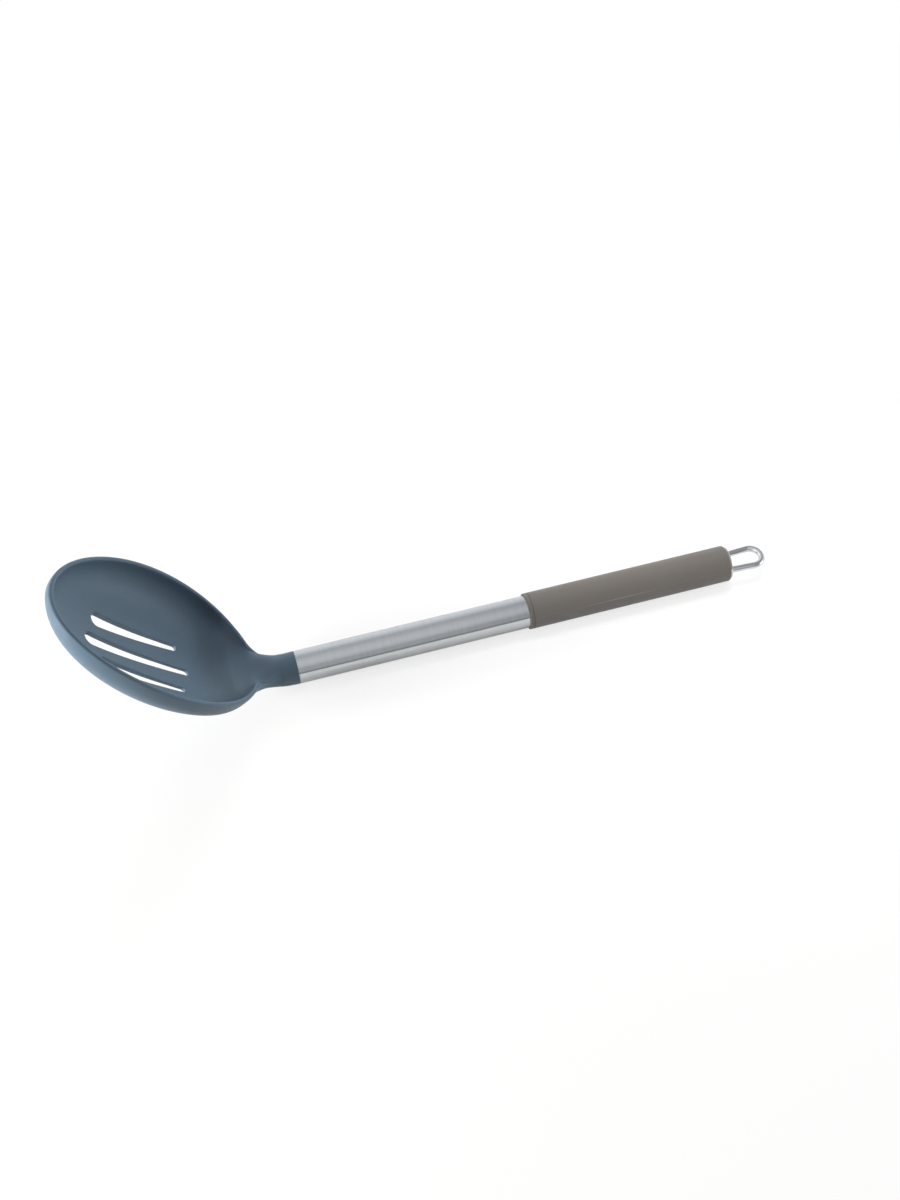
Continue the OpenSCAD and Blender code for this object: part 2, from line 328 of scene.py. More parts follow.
# %% Sizes of the moulding
NECK_L, NECK_FLAT, NECK_BEND_R = 15.5, 3.3, 28.0
BOWL_TILT = math.radians(45)
BOWL_L, BOWL_W, BOWL_DEPTH = 110.4, 77.4, 19.2
BOWL_WALL, HEEL_WALL, HEEL_L = 1.9, 1.6, 44.0
FULLNESS, TIP_FULLNESS, OUTER_FULLNESS, NECK_FULLNESS = 0.41, 0.5, 0.36, 0.5
LIP_W, LIP_START, LIP_FADE_L = 2.2, -5.0, 12.0
RIM_DROP, RIM_RISE_L = 3.3, 9.0
WAIST_W, WAIST_H = 14.6, 13.6
SHOULDER_ANGLE = math.radians(22)
HEEL_START, SCOOP_START, SCOOP_L = 4.0, 12.0, 40.0
FLOOR_START, FLOOR_END = -SCOOP_START, BOWL_L - LIP_W
BLEND_POWER = 8

OVAL_A, OVAL_B, WAIST_R = BOWL_L / 2, BOWL_W / 2, WAIST_W / 2
BEND_L = NECK_BEND_R * BOWL_TILT
shoulder_end = np.array([OVAL_A * (1 - math.cos(SHOULDER_ANGLE)), OVAL_B * math.sin(SHOULDER_ANGLE)])
shoulder_dir = np.array([-OVAL_B * math.cos(SHOULDER_ANGLE), OVAL_A * math.sin(SHOULDER_ANGLE)])
shoulder_dir /= np.linalg.norm(shoulder_dir)
SHOULDER_R = (shoulder_end[1] - WAIST_R) / (1 - shoulder_dir[1])
SHOULDER_C = np.array([shoulder_end[0] + SHOULDER_R * shoulder_dir[0], WAIST_R + SHOULDER_R])
print("shoulder radius", round(SHOULDER_R, 2), "at", SHOULDER_C.round(2))

# %% [markdown]
# ## The section at each place
#
# Each function gives one measure of the moulding at a place p: its widths, the heights of rim, floor and
# underside, and the lip. A table of sections could be typed in, but it would need smoothing in between.
# Formulas are smooth by themselves, and the slots can ask them for the height of a wall anywhere.

# %% The section of the moulding at p


def ease(x):
    """A smooth step from 0 to 1: three times the square less twice the cube."""
    t = np.clip(x, 0, 1)
    return t * t * (3 - 2 * t)


def soft_ease(x):
    """A smoother step whose bend also starts from nothing."""
    t = np.clip(x, 0, 1)
    return t ** 3 * (10 + t * (6 * t - 15))


def root(x):
    """Square root, with zero for anything below zero."""
    return np.sqrt(np.maximum(x, 0))


def arch(x, power):
    """A round arch over -1..1: one less the square of x, to a power that sets its fullness."""
    return np.maximum(1 - x * x, 0) ** power


def long_arch(p, start, end):
    """The arch along the bowl, with its own fullness on the side of the tip."""
    x = (2 * p - start - end) / (end - start)
    return arch(x, np.where(x < 0, FULLNESS, TIP_FULLNESS))


def oval_u(p):
    """Place along the oval from -1 at the neck to 1 at the tip."""
    return np.clip((p - OVAL_A) / OVAL_A, -1, 1)


def neck_share(p):
    """0 at the tube, 1 from the start of the oval: how much of the bowl's section is in the section."""
    return ease((p + NECK_L) / NECK_L)


def neck_half(p):
    """Half the width of the neck, easing from the tube to the waist."""
    return TUBE_R + (WAIST_R - TUBE_R) * neck_share(p)


def neck_height(p):
    """Height of the neck, easing from the tube to the waist."""
    return 2 * TUBE_R + (WAIST_H - 2 * TUBE_R) * neck_share(p)


def half_width(p):
    """Half the width of the outline: the neck, then a round shoulder, then the oval."""
    shoulder = SHOULDER_C[1] - root(SHOULDER_R ** 2 - (p - SHOULDER_C[0]) ** 2)
    oval = OVAL_B * root(1 - oval_u(p) ** 2)
    return np.where(p < SHOULDER_C[0], neck_half(p), np.where(p < shoulder_end[0], shoulder, oval))


def width_slope(p):
    """How fast the half width grows along the tool."""
    shoulder = (p - SHOULDER_C[0]) / (root(SHOULDER_R ** 2 - (p - SHOULDER_C[0]) ** 2) + TINY)
    oval = OVAL_B / OVAL_A * np.abs(oval_u(p)) / (root(1 - oval_u(p) ** 2) + TINY)
    return np.where(p < SHOULDER_C[0], 0, np.where(p < shoulder_end[0], shoulder, oval))


def lip_share(p):
    """How far the rounded lip has risen out of the neck."""
    return ease((p - LIP_START) / LIP_FADE_L)


def inner_half(p):
    """Half the width inside the lip."""
    lip = LIP_W * np.sqrt(1 + width_slope(p) ** 2) * lip_share(p)
    inside = (OVAL_B - LIP_W) * root(1 - ((p - OVAL_A) / (OVAL_A - LIP_W)) ** 2)
    return np.where(p < OVAL_A, half_width(p) - lip, np.where(p < FLOOR_END, inside, half_width(p) / 2))


def rim_level(p):
    """Height of the rim: from the axis of the neck up to the rim plane, dropping towards tip and neck."""
    rise = ease((p + NECK_L) / (NECK_L + RIM_RISE_L))
    return -TUBE_R * (1 - rise) - RIM_DROP * oval_u(p) ** 2 * rise


def under_level(p):
    """Height of the underside: the larger of neck and bowl, blended by a high power."""
    wall = BOWL_WALL + HEEL_WALL * (1 - ease(p / HEEL_L))
    neck = neck_height(p) * (1 - ease(p / OVAL_A))
    bowl = (BOWL_DEPTH + wall) * long_arch(p, -HEEL_START, BOWL_L) + RIM_DROP * oval_u(p) ** 2
    return -(neck ** BLEND_POWER + bowl ** BLEND_POWER) ** (1 / BLEND_POWER)


def scoop_share(p):
    """How far the hollow of the bowl has opened in the top of the neck."""
    return soft_ease((p + SCOOP_START) / SCOOP_L)


def hollow_fullness(p):
    """Fullness across the hollow: half an ellipse on the neck, steeper where the scoop ends."""
    return NECK_FULLNESS + (FULLNESS - NECK_FULLNESS) * scoop_share(p)


def floor_level(p):
    """Height of the floor inside: a long arch that starts as a scoop in the top of the neck."""
    depth = BOWL_DEPTH * long_arch(p, FLOOR_START, FLOOR_END) + RIM_DROP * oval_u(p) ** 2
    return -depth * scoop_share(p)


def bead(p, across):
    """Height of the lip over the rim plane: a half circle over the distance in from the outline."""
    u, w = oval_u(p), across / OVAL_B
    rho = np.hypot(u, w)
    inset = (1 - rho) * rho / np.hypot(u / OVAL_A, w / OVAL_B)
    return LIP_W / 2 * root(1 - (2 * inset / LIP_W - 1) ** 2)


def to_tool(p, across, up):
    """From place along the bent line, across it and up from it to the tool's own x, y and z."""
    s = p + NECK_L
    turn = BOWL_TILT * np.clip((s - NECK_FLAT) / BEND_L, 0, 1)
    beyond = np.maximum(s - NECK_FLAT - BEND_L, 0)
    x = -np.minimum(s, NECK_FLAT) - NECK_BEND_R * np.sin(turn) - beyond * math.cos(BOWL_TILT)
    z = TUBE_R + NECK_BEND_R * (1 - np.cos(turn)) + beyond * math.sin(BOWL_TILT)
    return np.stack([x + up * np.sin(turn), across, z + up * np.cos(turn)], -1)


def inside_level(p, across):
    """Height of the inside surface of the bowl at a place and a distance from its middle."""
    low, high = floor_level(p), rim_level(p)
    return high + (low - high) * arch(across / inner_half(p), hollow_fullness(p))


def outside_level(p, across):
    """Height of the outside surface of the bowl at a place and a distance from its middle."""
    low, high = under_level(p), rim_level(p)
    return high + (low - high) * arch(across / half_width(p), OUTER_FULLNESS)


middle_levels = [round(float(level(OVAL_A)), 2) for level in (floor_level, under_level)]
print("floor and underside at the middle", middle_levels)

# %% [markdown]
# ## Rings of the loft, with a window for the slots
#
# Lines run round the section: over the outside, over one lip, across the inside and over the other lip.
# They crowd at the lip, where the sides are steep. In the middle they stand evenly, so that a rectangular
# window of the floor can be left out of both walls. The slots go into that window in the next step.

# %% Rings of the loft
WINDOW_P, WINDOW_Q = (22.0, 88.0), 18.0
WINDOW_SHARE = 0.64
SIDE_LINES, MIDDLE_LINES, LIP_LINES = 26, 36, 12
LOFT_LIP, LOFT_INNER = 6, 32
NECK_STATIONS, WINDOW_STATIONS, TIP_STATIONS, LIP_STATIONS = 70, 66, 44, 16


def stations():
    """Places of the rings: even along neck and window, crowding to the end of the floor and of the lip."""
    neck = np.linspace(-NECK_L, WINDOW_P[0], NECK_STATIONS + 1)
    window = np.linspace(*WINDOW_P, WINDOW_STATIONS + 1)
    centre, reach = (FLOOR_START + FLOOR_END) / 2, (FLOOR_END - FLOOR_START) / 2
    turn = np.linspace(math.acos((WINDOW_P[1] - centre) / reach), 0, TIP_STATIONS + 1)
    tip = centre + reach * np.cos(turn)
    lip = FLOOR_END + LIP_W / 2 * (1 - np.cos(np.linspace(0, math.pi, LIP_STATIONS + 1)))
    return np.concatenate([neck, window[1:], tip[1:], lip[1:]])


def wall_turns(half, middle):
    """Angles over a wall from one edge to the other: even at the sides, even in distance in the middle."""
    edge = np.arccos(np.clip(middle / half, -1, 1))
    side = edge * np.linspace(0, 1, SIDE_LINES + 1)
    inner = np.arccos(np.clip(middle * np.linspace(1, -1, MIDDLE_LINES + 1) / half, -1, 1))
    return np.concatenate([side, inner[:, 1:-1], math.pi - side[:, ::-1]], 1)


def oval_neck(p, turn):
    """The section of the neck at an angle: an oval that hangs from the top line."""
    return neck_half(p) * np.cos(turn), -neck_height(p) / 2 * (1 + np.sin(turn))


def moulding_rings(p):
    """Points (across, up) of every ring and the angle of each line on the neck, for a column of places p."""
    outer, inner, level = half_width(p) + TINY, inner_half(p) + TINY, rim_level(p)
    middle = np.minimum(WINDOW_Q, WINDOW_SHARE * inner)
    out_turn = wall_turns(outer, middle)
    in_turn = math.pi - wall_turns(inner, middle)
    over = np.linspace(0, 1, LIP_LINES + 1)[None, 1:-1]
    lip_across = (outer + inner) / 2 + (outer - inner) / 2 * np.cos(math.pi * over)
    risen = LIP_W / 2 * lip_share(p) * np.sin(math.pi * over)
    lip_up = level + np.where(p < OVAL_A, risen, bead(p, lip_across))
    out_across, in_across = outer * np.cos(out_turn), inner * np.cos(in_turn)
    out_up = level + (under_level(p) - level) * arch(np.cos(out_turn), OUTER_FULLNESS)
    in_low = level + (floor_level(p) - level) * arch(np.cos(in_turn), hollow_fullness(p))
    in_up = np.where(p < FLOOR_END, in_low, level + bead(p, in_across))
    across = np.concatenate([out_across, -lip_across, in_across, lip_across[:, ::-1]], 1)
    up = np.concatenate([out_up, lip_up, in_up, lip_up[:, ::-1]], 1)
    share = math.pi / (LOFT_INNER + 2 * LOFT_LIP)
    lip_turn = math.pi + share * LOFT_LIP * over + 0 * p
    inside_turn = math.pi + share * (LOFT_LIP + LOFT_INNER * (1 - in_turn / math.pi))
    neck_turn = np.concatenate([out_turn, lip_turn, inside_turn, 3 * math.pi - lip_turn[:, ::-1]], 1)
    neck_across, neck_up = oval_neck(p, neck_turn)
    mix = neck_share(p)
    return neck_across + (across - neck_across) * mix, neck_up + (up - neck_up) * mix, neck_turn


PLACES = stations()[:, None]
ring_across, ring_up, ring_turn = moulding_rings(PLACES)
RING = to_tool(PLACES, ring_across, ring_up)
print("rings", RING.shape)

# %% [markdown]
# ## The spigot in the tube
#
# Behind the neck the moulding goes on as a ribbed spigot that is pressed into the tube. It is out of sight,
# and it is only a few more rings of the same lines, so the piece stays one closed body.

# %% Rings of the spigot
BORE_R, SPIGOT_L, RIB_H, RIB_W, RIB_COUNT = TUBE_R - 0.7, 32.0, 0.8, 3.0, 4


def spigot_rings(turn):
    """Circles at each step of the ribs, from the end of the spigot back to the neck."""
    starts = np.arange(RIB_COUNT) * SPIGOT_L / RIB_COUNT
    core = BORE_R - RIB_H
    x = np.stack([starts, starts, starts + RIB_W, starts + RIB_W], 1).reshape(-1)
    r = np.tile([core, BORE_R, BORE_R, core], RIB_COUNT)
    x = np.concatenate([[SPIGOT_L, SPIGOT_L], x[::-1]])[:-1, None]
    r = np.concatenate([[0.0, core], r[::-1]])[:-1, None]
    return np.stack([x + 0 * turn, r * np.cos(turn), -r * np.sin(turn)], -1)


SPIGOT = spigot_rings(ring_turn[:1])
print("spigot rings", SPIGOT.shape)

# %% [markdown]
# ## The slots
#
# Each slot is a long opening with round ends, wider at the tip. A boolean cut would do, but it leaves sharp
# edges and thin faces. Here the window is filled with a flat mesh in (p, across) that already has the
# slots' outlines in it, with a few lines beside each outline. Both walls of the bowl take that one mesh, at
# their own heights, and the lines beside the outline sink along a quarter circle, so the edges are rounded
# as a moulding's are.

# %% The window with its slots
SLOT_TIP_R, SLOT_NECK_R, SLOT_CENTRE = 3.55, 1.6, 55.4
SLOTS = ((0.0, 57.0), (-12.4, 47.0), (12.4, 47.0))
SLOT_EDGE = 0.2
EDGE_TURNS = np.radians([0, 18, 36, 54, 72, 90])
OUTLINE_TIP, OUTLINE_NECK, OUTLINE_SIDE = 28, 20, 46
SLOT_CLEAR, MERGE_GAP, WHOLE_HULL = 0.5, 1e-6, 0


def slot_ends(length):
    """Places of the centres of a slot's round ends, and the lean of its sides."""
    near = SLOT_CENTRE - length / 2 + SLOT_NECK_R
    far = SLOT_CENTRE + length / 2 - SLOT_TIP_R
    return near, far, math.asin((SLOT_TIP_R - SLOT_NECK_R) / (far - near))


def slot_outline(middle, length, grow):
    """A closed outline at a distance outside the slot: two arcs joined by straight sides."""
    near, far, lean = slot_ends(length)
    half = math.pi / 2 + lean
    tip = np.linspace(-half, half, OUTLINE_TIP + 1)
    neck = np.linspace(half, 2 * math.pi - half, OUTLINE_NECK + 1)
    tip = np.stack([far + (SLOT_TIP_R + grow) * np.cos(tip), (SLOT_TIP_R + grow) * np.sin(tip)], -1)
    neck = np.stack([near + (SLOT_NECK_R + grow) * np.cos(neck), (SLOT_NECK_R + grow) * np.sin(neck)], -1)
    share = np.linspace(0, 1, OUTLINE_SIDE + 1)[1:-1, None]
    back, forth = tip[-1] + (neck[0] - tip[-1]) * share, neck[-1] + (tip[0] - neck[-1]) * share
    return np.concatenate([tip, back, neck, forth]) + [0, middle]


def slot_distance(p, across):
    """Distance from the nearest slot's outline, negative inside: of a cone with two round ends."""
    nearest = np.full(np.broadcast(p, across).shape, np.inf)
    for middle, length in SLOTS:
        near, far, lean = slot_ends(length)
        along, aside = p - near, np.abs(across - middle)
        place = along * math.cos(lean) + aside * math.sin(lean)
        side = aside * math.cos(lean) - along * math.sin(lean) - SLOT_NECK_R
        neck = np.hypot(along, aside) - SLOT_NECK_R
        tip = np.hypot(along - (far - near), aside) - SLOT_TIP_R
        flank = np.where(place < 0, neck, np.where(place > (far - near) * math.cos(lean), tip, side))
        nearest = np.minimum(nearest, flank)
    return nearest


def edge_drop(distance):
    """How far the rounded edge of a slot sinks: a quarter circle over the edge's width."""
    inside = np.clip(SLOT_EDGE - distance, 0, SLOT_EDGE)
    return SLOT_EDGE - np.sqrt(SLOT_EDGE ** 2 - inside ** 2)


def window_mesh():
    """Flat points and triangles of the window, with the slots and the lines beside them left as edges."""
    p = np.linspace(*WINDOW_P, WINDOW_STATIONS + 1)
    q = WINDOW_Q * np.linspace(1, -1, MIDDLE_LINES + 1)
    plain = np.stack(np.meshgrid(p, q, indexing="ij"), -1).reshape(-1, 2)
    plain = plain[slot_distance(plain[:, 0], plain[:, 1]) > SLOT_EDGE + SLOT_CLEAR]
    grows = SLOT_EDGE * (1 - np.cos(EDGE_TURNS))
    loops = [slot_outline(middle, length, grow) for middle, length in SLOTS for grow in grows]
    count = len(loops[0])
    ring = np.arange(count)
    edges = np.concatenate([len(plain) + i * count + np.stack([ring, np.roll(ring, -1)], 1)
                            for i in range(len(loops))])
    flat = np.concatenate([plain, *loops])
    found = delaunay_2d_cdt([Vector(v) for v in flat], edges.tolist(), [], WHOLE_HULL, MERGE_GAP)
    points, triangles = np.array([tuple(v) for v in found[0]]), np.array(found[2])
    centres = points[triangles].mean(1)
    return points, triangles[slot_distance(centres[:, 0], centres[:, 1]) > 0]


flat, window_triangles = window_mesh()
sink = edge_drop(np.maximum(slot_distance(flat[:, 0], flat[:, 1]), 0))
window_in = to_tool(flat[:, 0], flat[:, 1], inside_level(flat[:, 0], flat[:, 1]) - sink)
window_out = to_tool(flat[:, 0], flat[:, 1], outside_level(flat[:, 0], flat[:, 1]) + sink)
print("window", len(flat), "points", len(window_triangles), "triangles")

# %% [markdown]
# ## Closing the moulding
#
# The wall of a slot is the thickness of the bowl, seen edge on. A solidify step could make it, but the
# outline is known, so it is carried straight from the inner surface to the outer one. Spigot, loft, both
# windows and these walls then weld into one closed body, because the real piece is one moulding.

# %% Walls of the slots and the whole moulding
SLOT_WALL_ROWS = 3


def slot_wall(middle, length):
    """The wall of a slot: its outline carried straight from the inner edge to the outer one."""
    line = slot_outline(middle, length, 0.0)
    line = np.concatenate([line, line[:1]])
    top = inside_level(line[:, 0], line[:, 1]) - SLOT_EDGE
    bottom = outside_level(line[:, 0], line[:, 1]) + SLOT_EDGE
    share = np.linspace(0, 1, SLOT_WALL_ROWS + 1)[:, None]
    return to_tool(line[None, :, 0], line[None, :, 1] + 0 * share, top + (bottom - top) * share)


def whole_moulding():
    """Spigot, loft without its windows, both windows and the walls of the slots, as one list."""
    rings = np.concatenate([SPIGOT, RING])
    rings = np.concatenate([rings, rings[:, :1]], 1)
    rows, columns = rings.shape[:2]
    keep = np.ones((rows - 1, columns - 1), bool)
    first = len(SPIGOT) + NECK_STATIONS
    wall = 2 * SIDE_LINES + MIDDLE_LINES + 1
    for start in (SIDE_LINES, wall + LIP_LINES - 1 + SIDE_LINES):
        keep[first:first + WINDOW_STATIONS, start:start + MIDDLE_LINES] = False
    points, triangles = [rings.reshape(-1, 3)], [grid_triangles(rows, columns, keep=keep)]
    used = rows * columns
    for patch, faces in ((window_in, window_triangles[:, ::-1]), (window_out, window_triangles)):
        points.append(patch)
        triangles.append(faces + used)
        used += len(patch)
    for slot in SLOTS:
        strip = slot_wall(*slot)
        points.append(strip.reshape(-1, 3))
        triangles.append(grid_triangles(*strip.shape[:2], used)[:, ::-1])
        used += strip.shape[0] * strip.shape[1]
    return np.concatenate(points), np.concatenate(triangles)


piece("bowl_and_neck", *whole_moulding(), "skimmer_head", "nylon", NYLON, crease=40)

# %% [markdown]
# ## Turned pieces
#
# Tube, grip and cap are bodies of revolution about the handle. A profile of length and radius is carried
# round the axis. Edges that the hand or the eye meets are short arcs in the profile, because a true edge
# always catches a thin line of light.

# %% A profile carried round the handle
ROUND_STEPS = 160


def arc(centre, radius, start, end, steps=6):
    """Points of an arc in the profile, by angles in degrees."""
    turn = np.radians(np.linspace(start, end, steps + 1))
    return np.stack([centre[0] + radius * np.cos(turn), centre[1] + radius * np.sin(turn)], -1)


def turned(profile, turns=None, swell=None):
    """A closed profile of (length, radius) carried round the axis; swell adds to the radius."""
    profile = np.concatenate([profile, profile[:1]])
    turns = np.linspace(0, 2 * math.pi, ROUND_STEPS + 1) if turns is None else turns
    x, r = profile[:, :1] + 0 * turns, profile[:, 1:] + 0 * turns
    r = r if swell is None else r + swell(x, r, turns)
    points = np.stack([x, r * np.cos(turns), r * np.sin(turns)], -1)
    return points.reshape(-1, 3), grid_triangles(*points.shape[:2])


# %% [markdown]
# ## The steel tube
#
# The tube is thin, brushed and cut square, with its cut edges broken. A cylinder with a thickness would do,
# but the profile gives the broken edges too, and they draw the fine line of light at the neck.

# %% The steel tube
TUBE_EDGE = 0.22
tube_profile = np.concatenate([
    arc((TUBE_EDGE, TUBE_R - TUBE_EDGE), TUBE_EDGE, 180, 90),
    arc((TUBE_L - TUBE_EDGE, TUBE_R - TUBE_EDGE), TUBE_EDGE, 90, 0),
    [(TUBE_L, BORE_R), (0.0, BORE_R)],
])
piece("steel_tube", *turned(tube_profile), "handle_tube", "tube_steel", TUBE_STEEL, crease=35)

# %% [markdown]
# ## The grip sleeve
#
# The grip is a thin soft sleeve. In front it has a narrow collar with a fine groove behind it, and at the
# back a rounded edge. A moulded sleeve keeps a hairline where the halves of its mould met: here it is a low
# ridge along each side. The columns of the grid crowd there, so that the ridge is geometry and not only
# shading. The line also gets a painted highlight: over a short stretch it is paler, which is a value on the
# points that the finish reads.

# %% The soft grip
grip_low, grip_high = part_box("grip_sleeve")
GRIP_FRONT, GRIP_BACK = (corner.x / MM - JUNCTION[0] for corner in (grip_low, grip_high))
GRIP_R = (grip_high.z - grip_low.z) / 2 / MM
COLLAR_L, GROOVE_W, GROOVE_DEPTH = 1.7, 0.4, 0.3
GROOVE_FRONT, GROOVE_BACK = GRIP_FRONT + COLLAR_L, GRIP_FRONT + COLLAR_L + GROOVE_W
GRIP_EDGE, GROOVE_EDGE, GRIP_ROUND = 0.28, 0.09, 0.7
GROOVE_STEPS, ROUND_EDGE_STEPS = 3, 8
SKIN_RINGS, SKIN_INSET, SKIN_DEPTH = 40, 1.0, 0.01
SEAM_HEIGHT, SEAM_WIDTH = 0.06, 0.18
# painted highlight: the paler colour laid on the seam line
SEAM_HIGHLIGHT_COLOUR = (0.24, 0.225, 0.21)
SEAM_TURNS = np.radians([158.0, 338.0])
SEAM_SPAN, SEAM_COLUMNS = math.radians(4), 12
# where along the grip the seam's painted highlight is strongest, how far it spreads, and the trace left
# beyond it
SEAM_HIGHLIGHT_AT, SEAM_HIGHLIGHT_L, SEAM_HIGHLIGHT_LEAST = 0.44, 0.12, 0.1


def grip_turns():
    """Columns round the grip: even, with extra ones close to each seam."""
    near = [seam + SEAM_SPAN * np.linspace(-1, 1, SEAM_COLUMNS + 1) for seam in SEAM_TURNS]
    even = np.linspace(0, 2 * math.pi, ROUND_STEPS + 1)
    return np.unique(np.round(np.concatenate([even, *near]), 6))


def seam_share(turns):
    """1 on the nearest seam, falling off as a bell beside it."""
    away = np.min([np.abs(turns - seam) for seam in SEAM_TURNS], axis=0) * GRIP_R
    return np.exp(-(away / SEAM_WIDTH) ** 2)


def seam_ridge(x, r, turns):
    """A low rounded ridge at each seam, on the skin behind the groove."""
    on_skin = (r > GRIP_R - SKIN_DEPTH) & (x > GROOVE_BACK)
    return SEAM_HEIGHT * seam_share(turns) * on_skin


def seam_highlight_along(x):
    """How strong the seam's painted highlight is along the grip: a bell over one stretch, and a trace beyond
    it.
    """
    away = (x - GRIP_FRONT) / (GRIP_BACK - GRIP_FRONT) - SEAM_HIGHLIGHT_AT
    return SEAM_HIGHLIGHT_LEAST + (1 - SEAM_HIGHLIGHT_LEAST) * np.exp(-(away / SEAM_HIGHLIGHT_L) ** 2)


def paint_seam_highlight(obj, material):
    """A point attribute with the seam share, and a painted highlight: a lighter colour where it is high."""
    points = np.empty(len(obj.data.vertices) * 3)
    obj.data.vertices.foreach_get("co", points)
    points = points.reshape(-1, 3) / MM - JUNCTION
    turns = np.arctan2(points[:, 2], points[:, 1]) % (2 * math.pi)
    layer = obj.data.attributes.new("seam", "FLOAT", "POINT")
    # the stored value is how much painted highlight each point takes
    layer.data.foreach_set("value", seam_share(turns) * seam_highlight_along(points[:, 0]))
    tree = material.node_tree
    colour = tree.nodes["Principled BSDF"].inputs["Base Color"]
    # mixes the painted highlight colour into the grip's own colour by that value
    mix = add_node(tree, "ShaderNodeMix", data_type="RGBA")
    mix.inputs["B"].default_value = (*SEAM_HIGHLIGHT_COLOUR, 1)
    seam = add_node(tree, "ShaderNodeAttribute", attribute_name=layer.name)
    tree.links.new(seam.outputs["Fac"], mix.inputs["Factor"])
    tree.links.new(colour.links[0].from_socket, mix.inputs["A"])
    tree.links.new(mix.outputs["Result"], colour)


skin_x = np.linspace(GROOVE_BACK + SKIN_INSET, GRIP_BACK - GRIP_ROUND - SKIN_INSET, SKIN_RINGS)
grip_profile = np.concatenate([
    arc((GRIP_FRONT + GRIP_EDGE, GRIP_R - GRIP_EDGE), GRIP_EDGE, 180, 90),
    arc((GROOVE_FRONT - GROOVE_EDGE, GRIP_R - GROOVE_EDGE), GROOVE_EDGE, 90, 0, GROOVE_STEPS),
    [(GROOVE_FRONT, GRIP_R - GROOVE_DEPTH), (GROOVE_BACK, GRIP_R - GROOVE_DEPTH)],
    arc((GROOVE_BACK + GROOVE_EDGE, GRIP_R - GROOVE_EDGE), GROOVE_EDGE, 180, 90, GROOVE_STEPS),
    np.stack([skin_x, np.full(SKIN_RINGS, GRIP_R)], -1),
    arc((GRIP_BACK - GRIP_ROUND, GRIP_R - GRIP_ROUND), GRIP_ROUND, 90, 0, ROUND_EDGE_STEPS),
    [(GRIP_BACK, TUBE_R), (GRIP_FRONT, TUBE_R)],
])
grip = piece("soft_grip", *turned(grip_profile, grip_turns(), seam_ridge), "grip_sleeve", "soft_grip",
             SOFT_GRIP, crease=40)
# lays the painted highlight on the seam line
paint_seam_highlight(grip, SOFT_GRIP)

# %% [markdown]
# ## The hanging loop
#
# The loop is one round wire. Its legs come straight out of the plug through the cap, spread a little and
# meet in a round bend. A curve with a bevel would draw it too; here a circle is carried along the line of
# the wire, with its frame turned with the line.

# %% The wire
CAP_T, CAP_SKIRT, PLUG_L, PLUG_WEB = 1.0, 4.0, 14.0, 3.0
WIRE_R, LEG_Y, LOOP_FLARE, LOOP_REACH = 1.5, 4.8, 1.3, 20.0
BEND_STEPS, LEG_STEPS, WIRE_STEPS = 64, 24, 40
BEND_R = LEG_Y + LOOP_FLARE / 2
BEND_X = TUBE_L + LOOP_REACH - WIRE_R - BEND_R
CAP_FACE = TUBE_L + CAP_T
leg_run = BEND_X - CAP_FACE
LEG_SPREAD = math.asin(BEND_R / math.hypot(leg_run, LEG_Y)) - math.atan2(LEG_Y, leg_run)
LEG_IN = CAP_T + CAP_SKIRT + PLUG_L - PLUG_WEB


def wire_line():
    """Points of the wire's middle line and its direction: one leg, the bend, the other leg."""
    half = math.pi / 2 + LEG_SPREAD
    turn = np.linspace(-half, half, BEND_STEPS + 1)
    bend = np.stack([BEND_X + BEND_R * np.cos(turn), BEND_R * np.sin(turn)], -1)
    way = np.stack([-np.sin(turn), np.cos(turn)], -1)
    straight = LEG_IN + leg_run * math.cos(LEG_SPREAD) - LEG_Y * math.sin(LEG_SPREAD)
    back = straight * np.linspace(1, 0, LEG_STEPS + 1)[:-1, None]
    first, last = bend[0] - back * way[0], bend[-1] + back[::-1] * way[-1]
    line = np.concatenate([first, bend, last])
    ways = np.concatenate([np.repeat(way[:1], LEG_STEPS, 0), way, np.repeat(way[-1:], LEG_STEPS, 0)])
    return line, ways


def wire_surface():
    """A circle carried along the line of the wire, closed with a point at each end."""
    line, ways = wire_line()
    turn = np.linspace(0, 2 * math.pi, WIRE_STEPS + 1)
    r = np.full(len(line) + 2, WIRE_R)
    r[[0, -1]] = 0
    line, ways = (np.concatenate([a[:1], a, a[-1:]]) for a in (line, ways))
    aside = np.stack([-ways[:, 1], ways[:, 0]], -1)
    flat_part = line[:, None] + aside[:, None] * (r[:, None] * np.cos(turn))[..., None]
    points = np.concatenate([flat_part, (r[:, None] * np.sin(turn))[..., None]], -1)
    return points.reshape(-1, 3), grid_triangles(*points.shape[:2])


piece("wire_loop", *wire_surface(), "hanging_loop", "loop_wire", POLISHED, crease=50)

# %% [markdown]
# ## Cap and plug
#
# The cap has two holes that the wire fills, and its solid already has the right shape, so it stays as it is
# and only gets the polished finish. The plug is hidden in the tube and takes a plain dark moulding.

# %% Finishes of the solids that stay
for node, finish in (("end_cap", POLISHED), ("loop_plug", PLUG)):
    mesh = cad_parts[node].data
    mesh.materials.clear()
    mesh.materials.append(finish)
    print(node, "takes", finish.name)

# %% [markdown]
# ## The floor
#
# The tool lies on plain white card. Painted white and lit, the card would change its tone with every lamp.
# So to the camera it glows white, and a share of ordinary shading keeps the shadow. That share fades out
# away from the tool, so that no edge of the floor shows. Reflections and scattered light meet duller
# paints, so the card doesn't wash out the underside of the bowl.

# %% The floor
FLOOR_HALF = 1.2
SHADOW_SHARE, SHADOW_REACH = 0.3, (0.25, 0.6)
WHITE_PAINT, DULL_PAINT, BOUNCE_PAINT = ((grey, grey, grey, 1) for grey in (0.86, 0.74, 0.6))


